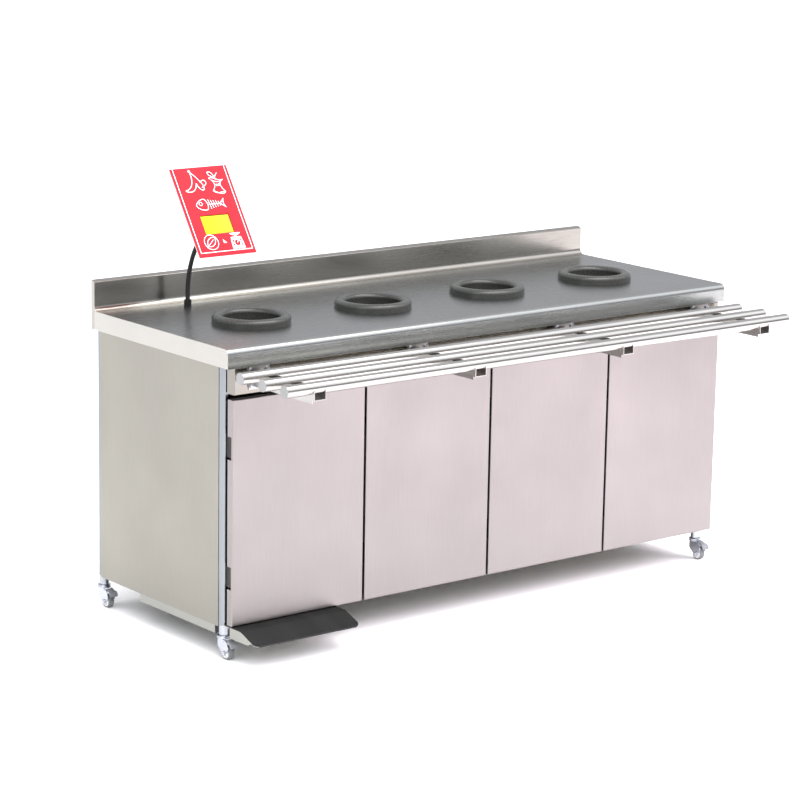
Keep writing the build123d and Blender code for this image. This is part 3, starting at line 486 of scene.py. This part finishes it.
for number in range(1, 5):
    low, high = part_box(f"castor_{number}_tyre")
    x, axle_y, axle_z = (low + high) / 2
    wheel_radius = (high.z - low.z) / 2
    half = (high.x - low.x) / 2
    pivot_y = axle_y + wheel_trail
    crown_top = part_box(f"castor_{number}_fork")[1].z
    crown_low = crown_top - crown_thickness
    body = f"castor_{number}"
    crown_edge = arc((crown_radius - crown_round, crown_top - crown_round), crown_round, 90, 0, 5)
    waist = crown_radius - crown_step
    radii = np.concatenate([[crown_bore], crown_edge[:, 0], [waist, waist, crown_radius, waist, crown_bore]])
    heights = np.concatenate([[crown_top], crown_edge[:, 1], [
        crown_top - 0.0042, crown_top - 0.0052, crown_top - 0.0062, crown_low, crown_low,
    ]])
    crown = lathed(radii, heights, "z", (x, pivot_y, 0), 48)
    front_hood = arc((0, 0), 1, 90, 180, 12) * (fork_front - crown_radius, fork_front_drop)
    outline = np.concatenate([
        [(pivot_y + fork_back, crown_low + crown_step), (pivot_y - crown_radius, crown_low + crown_step)],
        front_hood + (pivot_y - crown_radius, crown_low - fork_front_drop),
        arc(
            (pivot_y - fork_front + fork_front_round, crown_low - fork_front_drop - 0.004),
            fork_front_round, 180, 240, 5,
        ),
        arc((axle_y, axle_z), fork_end, 215, 325, 10),
        arc(
            (pivot_y + fork_back - fork_back_round, crown_low - fork_back_drop + 0.001),
            fork_back_round, 315, 360, 4,
        ),
    ])
    shells = [crown]
    for side in (-1, 1):
        inner = x + side * (half + fork_gap)
        shells.append(slab(outline, min(inner, inner + side * cheek), max(inner, inner + side * cheek)))
    reach = half + fork_gap + cheek + axle_end
    axle_radii = [0.0, axle_radius, axle_radius, axle_head, axle_head, 0.0045, 0.0]
    for side in (-1, 1):
        stations = np.array([0.0, 0.0, reach - axle_end, reach - axle_end, reach - 0.0015, reach, reach])
        shells.append(lathed(axle_radii, side * stations, "x", (x, axle_y, axle_z), 24))
    pin_reach = half + fork_gap + cheek
    shells.append(lathed(
        [0.0, pedal_pin, pedal_pin, 0.0], np.array([-1, -1, 1, 1]) * pin_reach, "x",
        (x, pivot_y - pedal_trail, crown_low - pedal_drop), 16,
    ))
    build(
        f"castor_fork_{number}", shells, fork_zinc, body, [f"castor_{number}_fork"], bevel=0.0005,
    )
    outer_arc = arc((wheel_radius - tyre_round, half - tyre_round), tyre_round, 0, 90, 5)
    tyre_radii = np.concatenate([
        [hub_radius, wheel_radius - tyre_round], outer_arc[::-1][1:, 0], outer_arc[:-1, 0],
        [wheel_radius - tyre_round, hub_radius],
    ])
    tyre_along = np.concatenate([
        [half, half], outer_arc[::-1][1:, 1], -outer_arc[:-1, 1], [-half, -half],
    ])
    build(
        f"castor_tyre_{number}", [lathed(tyre_radii, tyre_along, "x", (x, axle_y, axle_z), 64)],
        tyre_rubber, f"wheel_{number}", [f"castor_{number}_tyre"],
    )
    bore = axle_radius + hub_play
    hub_radii = [bore, 0.0070, 0.0075, 0.0077, 0.0120, 0.0128, 0.0140, hub_radius]
    hub_depth = half - np.array([0, 0, 0.0006, 0.0035, 0.0035, 0.0006, 0, 0])
    build(
        f"castor_hub_{number}", [lathed(
            np.concatenate([hub_radii, hub_radii[::-1]]), np.concatenate([hub_depth, -hub_depth[::-1]]),
            "x", (x, axle_y, axle_z), 48,
        )], hub_nylon, f"wheel_{number}", [f"castor_{number}_hub"],
    )
    pedal_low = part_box(f"castor_{number}_brake")[0]
    s = np.linspace(0, 1, 33)
    start = np.array([pivot_y - pedal_trail, crown_low - pedal_drop])
    tip_y = pedal_low.y + 0.0015
    line_y = start[0] + (tip_y - start[0]) * s
    line_z = start[1] - pedal_fall * s ** 3 - pedal_tip_fall * np.clip((s - 0.75) / 0.25, 0, 1) ** 2
    ends = np.sqrt(np.clip(np.minimum(s / 0.08, (1 - s) / 0.05), 0, 1))
    half_width = (0.010 + 0.004 * np.clip((s - 0.58) / 0.12, 0, 1)) * (0.75 + 0.25 * ends)
    half_thick = (0.0033 - 0.0003 * s) * ends
    t = np.linspace(0, 2 * np.pi, 24, endpoint=False)
    round_x = np.sign(np.cos(t)) * np.abs(np.cos(t)) ** 0.35
    round_z = np.sign(np.sin(t)) * np.abs(np.sin(t)) ** 0.6
    pedal_points = np.stack([
        x + half_width[:, None] * round_x, line_y[:, None] + 0 * t,
        line_z[:, None] + half_thick[:, None] * round_z,
    ], axis=-1)
    build(
        f"castor_pedal_{number}", [swept(pedal_points, rows_closed=False)],
        pedal_paint, f"pedal_{number}", [f"castor_{number}_brake"],
    )


# ---- Display ----
# A red printed acrylic plate with a backlit window, on a black moulded housing. The print is white
# ink: a frame line, kitchen-scrap pictures, a leaf in a ring and a weighing scale.
plate_low, plate_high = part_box("display_plate")
plate_centre = np.array((plate_low + plate_high) / 2)
plate_tilt = math.radians(34.0)
plate_up = np.array([0.0, math.sin(plate_tilt), math.cos(plate_tilt)])
plate_out = np.array([0.0, -math.cos(plate_tilt), math.sin(plate_tilt)])
plate_width, plate_height, plate_thickness = 0.200, 0.286, 0.005
window_width, window_height, window_drop = 0.100, 0.060, 0.042


def on_plate(right, up, out):
    """A point of the tilted plate, from distances right, up and out of its centre, as arrays."""
    right, up, out = np.broadcast_arrays(right, up, out)
    return (
        plate_centre + right[..., None] * np.array([1.0, 0, 0]) + up[..., None] * plate_up
        + out[..., None] * plate_out
    )


def rounded_loop(width, height, radius, rise=0.0, count=32):
    """A rectangle with round corners: each corner's centre plus radius times (cos t, sin t)."""
    t = (np.arange(count) + 0.5) / count * 2 * np.pi
    right = np.sign(np.cos(t)) * (width / 2 - radius) + radius * np.cos(t)
    up = np.sign(np.sin(t)) * (height / 2 - radius) + radius * np.sin(t) + rise
    return right, up


def acrylic(name, colour_a, colour_b, roughness):
    """Cast acrylic sheet: deep even colour, slight haze and a polished face."""
    material, tree, place = blank_material(name)
    haze = add(tree, "ShaderNodeTexNoise", {"Vector": place, "Scale": 30.0, "Detail": 3.0})
    colour = add(tree, "ShaderNodeMix", {
        0: haze.outputs["Fac"], 6: linear(colour_a), 7: linear(colour_b),
    }, data_type="RGBA")
    gloss = add(tree, "ShaderNodeMapRange", {
        0: haze.outputs["Fac"], 3: roughness - 0.03, 4: roughness + 0.05,
    })
    show(tree, add(tree, "ShaderNodeBsdfPrincipled", {
        "Base Color": colour.outputs[2], "Roughness": gloss.outputs[0], "IOR": 1.49,
        "Specular IOR Level": 0.12,
    }))
    return material


sign_red = acrylic("red_cast_acrylic", "D01D2A", "D8232F", 0.35)
sign_edge = acrylic("polished_acrylic_edge", "E8C4C8", "F2D8DB", 0.2)
edge, plate_corner, window_corner = 0.0008, 0.003, 0.0015
half_thickness = plate_thickness / 2
outer_rows = [(0, -half_thickness + edge), (0, half_thickness - edge), (edge, half_thickness)]
inner_rows = [
    (edge, half_thickness), (0, half_thickness - edge), (0, -half_thickness + edge), (edge, -half_thickness),
]
polish_rows = [(-0.0002, -1), (-0.0002, 1), (edge, 1), (edge, -1)]


def plate_loop(inset, out):
    """The plate's outline, drawn in by inset, at a distance out of the plate's middle."""
    right, up = rounded_loop(plate_width - 2 * inset, plate_height - 2 * inset, plate_corner)
    return on_plate(right, up, out)


loops = [plate_loop(inset, out) for inset, out in outer_rows]
for outset, out in inner_rows:
    width, height = window_width + 2 * outset, window_height + 2 * outset
    loops.append(on_plate(*rounded_loop(width, height, window_corner, -window_drop), out))
loops.append(plate_loop(edge, -half_thickness))
polished = [plate_loop(inset, out * (half_thickness - 1.5 * edge)) for inset, out in polish_rows]
shells = [swept(np.stack(loops)), swept(np.stack(polished))]

# Painted shade: a dark strip inside the window along its top stands in for the shadow of the window's top
# edge, and one up its right side stands in for the shaded inner wall.
shade_strip_height, shade_strip_width, shade_strip_back, shade_strip_front, shade_strip_gap = 0.0022, 0.0026, 0.0012, 0.0019, 0.0002
shade_strip_half, shade_strip_top = window_width / 2 - shade_strip_gap, window_height / 2 - shade_strip_gap
shade_strip_foot = -window_height / 2 + 2 * shade_strip_gap
for left, foot in ((-shade_strip_half, shade_strip_top - shade_strip_height), (shade_strip_half - shade_strip_width, shade_strip_foot)):
    right, up = np.array([left, shade_strip_half, shade_strip_half, left]), np.array([foot, foot, shade_strip_top, shade_strip_top])
    layers = [on_plate(right, up - window_drop, out) for out in (shade_strip_back, shade_strip_front)]
    shells.append(swept(np.stack(layers), rows_closed=False))
# The strips' dark olive colour is painted shade, where the window's edge shades the screen.
window_shade_strip = acrylic("painted_window_shade", "3A3410", "2C260C", 0.5)
build(
    "sign_plate", shells, [sign_red, sign_edge, window_shade_strip],
    "display", ["display_plate"], tints=[0, 1, 2, 2],
)

# The printed pictures, in millimetres from the plate's centre; the ink stands just proud of the face.
ink_bottom, ink_top = half_thickness - 0.0001, half_thickness + 0.00025


def bezier(points, count=24):
    """A Bernstein curve: the sum of binomial(n, k) t^k (1 - t)^(n - k) times point k."""
    points = np.asarray(points, float)
    t = np.linspace(0, 1, count)[:, None]
    n = len(points) - 1
    return sum(math.comb(n, k) * t ** k * (1 - t) ** (n - k) * points[k] for k in range(n + 1))


def ribbon(line, width, closed=False):
    """A flat ink line on the plate's face: the curve, moved half its width to either side."""
    line = np.asarray(line, float) / 1000
    if closed:
        ahead_of, behind = np.roll(line, -1, axis=0), np.roll(line, 1, axis=0)
    else:
        ahead_of, behind = np.vstack([line[1:], line[-1:]]), np.vstack([line[:1], line[:-1]])
    along = ahead_of - behind
    along /= np.linalg.norm(along, axis=1)[:, None]
    side = np.column_stack([-along[:, 1], along[:, 0]]) * width / 2000
    rows = [
        on_plate(*(line + side).T, ink_bottom), on_plate(*(line + side).T, ink_top),
        on_plate(*(line - side).T, ink_top), on_plate(*(line - side).T, ink_bottom),
    ]
    return swept(np.stack(rows, axis=1), rows_closed=closed)


def blot(outline):
    """A filled ink shape on the plate's face."""
    outline = np.asarray(outline, float) / 1000
    return swept(
        np.stack([on_plate(*outline.T, ink_bottom), on_plate(*outline.T, ink_top)]), rows_closed=False,
    )


def round_line(centre, radius, count=40, squash=1.0):
    """A closed circle or ellipse of points."""
    t = np.linspace(0, 2 * np.pi, count, endpoint=False)
    return np.column_stack([centre[0] + radius * np.cos(t), centre[1] + radius * squash * np.sin(t)])


def frame_line():
    """The border: down the left side, along the bottom and up the right side."""
    side, foot, top, width = 90.0, -129.5, 141.5, 2.2
    return [
        ribbon([(-side, top), (-side, 0), (-side, foot)], width),
        ribbon([(side, top), (side, 0), (side, foot)], width),
        ribbon([(-side - width / 2, foot), (0, foot), (side + width / 2, foot)], width),
    ]


def fruit_peel(x, y):
    """A peel hanging from its stalk in three curling strips."""
    at = np.array([x, y])
    stalk = at + (-4, 30)
    strips = [
        [(0, 0), (2, -22), (-2, -52), (-34, -58)], [(-34, -58), (-24, -66), (2, -68), (10, -36)],
        [(10, -36), (14, -62), (34, -66), (32, -50)], [(0, 0), (14, -12), (24, -30), (32, -44)],
        [(24, -34), (34, -26), (44, -26), (44, -36)], [(44, -36), (42, -46), (34, -44), (26, -52)],
    ]
    stub = blot(round_line(stalk + (-1, 3), 4.0, 16))
    return [ribbon(stalk + bezier(strip), 2.2) for strip in strips] + [stub]


def apple_core(x, y):
    """A bitten core: flared top and bottom, narrow waist, two pips, stalk and leaf."""
    at = np.array([x, y])
    lines = [
        [(-24, 18), (-6, 6), (-6, -8), (-22, -22)], [(24, 12), (4, 4), (6, -12), (20, -28)],
        [(-24, 18), (-10, 26), (4, 4), (24, 12)], [(-24, 18), (-12, 8), (6, -2), (24, 12)],
        [(-22, -22), (-10, -38), (6, -26), (20, -28)], [(-22, -22), (-8, -28), (8, -42), (20, -28)],
        [(-2, 15), (-2, 24), (4, 28), (10, 34)], [(-3, 20), (-12, 22), (-26, 30), (-22, 38)],
        [(-22, 38), (-12, 42), (-4, 30), (-3, 20)],
    ]
    pips = [blot(round_line(at + (dx, -5), 2.6, 14, 1.5)) for dx in (-4, 4)]
    return [ribbon(at + bezier(line), 2.0) for line in lines] + pips


def fish_bone(x, y):
    """A head with an eye, a spine with five ribs, and a forked tail."""
    at = np.array([x, y])
    head = [(-18, 17), (-34, 20), (-52, 2), (-50, -2)], [(-50, -2), (-48, -12), (-30, -20), (-16, -17)]
    tail = (
        [(34, 0), (40, 8), (48, 12), (50, 16)], [(50, 16), (42, 4), (44, -4), (50, -14)],
        [(50, -14), (46, -10), (40, -6), (34, 0)],
    )
    shells = [ribbon(at + bezier(line), 2.0) for line in head + tail]
    shells.append(ribbon(at + bezier([(-18, 17), (-8, 6), (-8, -8), (-16, -17)]), 2.0))
    shells.append(ribbon(at + np.array([(-11, 0), (12, 0), (35, 0)]), 2.0))
    for k in range(5):
        rib_x, reach = -4 + 8.5 * k, 15 - 1.8 * k
        rib = bezier([(rib_x - 1.5, reach), (rib_x + 1.5, 0), (rib_x + 2.5, -reach)], 10)
        shells.append(ribbon(at + rib, 1.7))
    return shells + [ribbon(round_line(at + (-34, 3), 5.5, 20), 1.6, closed=True)]


def ringed_leaf(x, y):
    """A leaf with its vein inside a ring, which says that scraps are sorted here."""
    at = np.array([x, y])
    upper = bezier([(-15, -12), (-16, 10), (4, 18), (16, 14)])
    lower = bezier([(16, 14), (18, -6), (2, -18), (-15, -12)])
    return [
        ribbon(round_line(at, 23.5), 1.8, closed=True), ribbon(at + upper, 2.0), ribbon(at + lower, 2.0),
        ribbon(at + bezier([(-20, -16), (-8, -6), (2, 0), (9, 8)]), 1.7),
    ]


def weighing_scale(x, y):
    """A pan over a box with a dial and its pointer."""
    at = np.array([x, y])
    pan = np.concatenate([[(-25, 24), (25, 24)], arc((0, 24), 18, 0, -180, 12) * (1, 0.45) + (0, 13.2)])
    case = [(-20, -24), (20, -24), (16, 9), (-16, 9)]
    outer, inner = np.array(case) + at, round_line(at + (0, -8), 11, 24)
    return [
        blot(at + pan), ribbon(at + np.array([(0, 16), (0, 12), (0, 8)]), 7.0),
        ribbon(np.vstack([bezier(outer[[k, (k + 1) % 4]], 3)[:-1] for k in range(4)]), 5.0, closed=True),
        ribbon(inner, 2.6, closed=True), ribbon(at + np.array([(0, -8), (2, -4), (4, 0)]), 2.0),
        ribbon(at + np.array([(-17, -19.5), (0, -19.5), (17, -19.5)]), 5.0),
        ribbon(at + np.array([(-14, 4.5), (0, 4.5), (14, 4.5)]), 4.0),
    ]


ink = acrylic("white_screen_ink", "FFF4F4", "FFFFFF", 0.45)
build(
    "sign_print",
    frame_line() + fruit_peel(-31, 98) + apple_core(47, 86) + fish_bone(0, 22) + ringed_leaf(-43, -98)
    + weighing_scale(46, -99) + [blot([(-1, -104), (10, -104), (-1, -92)])],
    ink, "display",
)

screen, tree, place = blank_material("backlit_display_glass")
across_screen = add(tree, "ShaderNodeSeparateXYZ", {0: place})
window_left = plate_centre[0] - window_width / 2
fade = add(tree, "ShaderNodeMapRange", {
    0: across_screen.outputs["X"], 1: float(window_left), 2: float(window_left + window_width),
})
mottle = add(tree, "ShaderNodeTexNoise", {"Vector": place, "Scale": 22.0, "Detail": 2.0})
shift = add(tree, "ShaderNodeMath", {0: mottle.outputs["Fac"], 1: 0.35}, operation="MULTIPLY")
total = add(tree, "ShaderNodeMath", {0: fade.outputs[0], 1: shift.outputs[0]}, operation="ADD")
glow = add(tree, "ShaderNodeMix", {
    0: total.outputs[0], 6: linear("E9DC06"), 7: linear("CFA02C"),
}, data_type="RGBA")
show(tree, add(tree, "ShaderNodeBsdfPrincipled", {
    "Base Color": glow.outputs[2], "Roughness": 0.3, "Specular IOR Level": 0.1,
    "Emission Color": glow.outputs[2], "Emission Strength": 0.05,
}))
dress(screen, "display_screen")
housing_plastic = moulded("black_moulded_abs", "2A2A2A", "1F1F1F", 0.45)
dress(housing_plastic, "display_housing", "neck_head")


# ---- Gooseneck and its gland ----
# A steel flexible conduit in a black sleeve, gripped at its foot by a nylon gland nut.
neck_low, neck_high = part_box("gooseneck")
head_low, head_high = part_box("neck_head")
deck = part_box("worktop")[1].z
neck_radius, neck_straight, neck_head_radius, rib_pitch = 0.007, 0.038, 0.010, 0.0036
neck_x = (neck_low.x + neck_high.x) / 2
neck_y = neck_high.y - neck_radius
head = (head_low + head_high) / 2
rise, reach = head.z - deck - neck_straight, neck_y - head.y
bend = 2 * math.atan2(reach, rise)
arc_radius = rise / math.sin(bend)
straight_length = deck + neck_straight - neck_low.z
arc_length = bend * arc_radius - neck_head_radius
s = np.linspace(0, straight_length + arc_length, int((straight_length + arc_length) / rib_pitch) * 8)
angle = np.clip(s - straight_length, 0, None) / arc_radius
line_y = neck_y - arc_radius * (1 - np.cos(angle))
line_z = np.where(s < straight_length, neck_low.z + s, deck + neck_straight + arc_radius * np.sin(angle))
ripple = neck_radius - 0.0006 * (0.5 + 0.5 * np.cos(2 * np.pi * s / rib_pitch)) ** 2
t = np.linspace(0, 2 * np.pi, 28, endpoint=False)
neck_points = np.stack([
    neck_x + ripple[:, None] * np.cos(t),
    line_y[:, None] + ripple[:, None] * np.sin(t) * np.cos(angle)[:, None],
    line_z[:, None] + ripple[:, None] * np.sin(t) * np.sin(angle)[:, None],
], axis=-1)
neck_plastic = moulded("black_sleeved_conduit", "1A1A1A", "101010", 0.4)
build(
    "flexible_neck", [swept(neck_points, rows_closed=False)], neck_plastic,
    "neck", ["gooseneck"],
)
dress(neck_plastic, "gooseneck_gland")
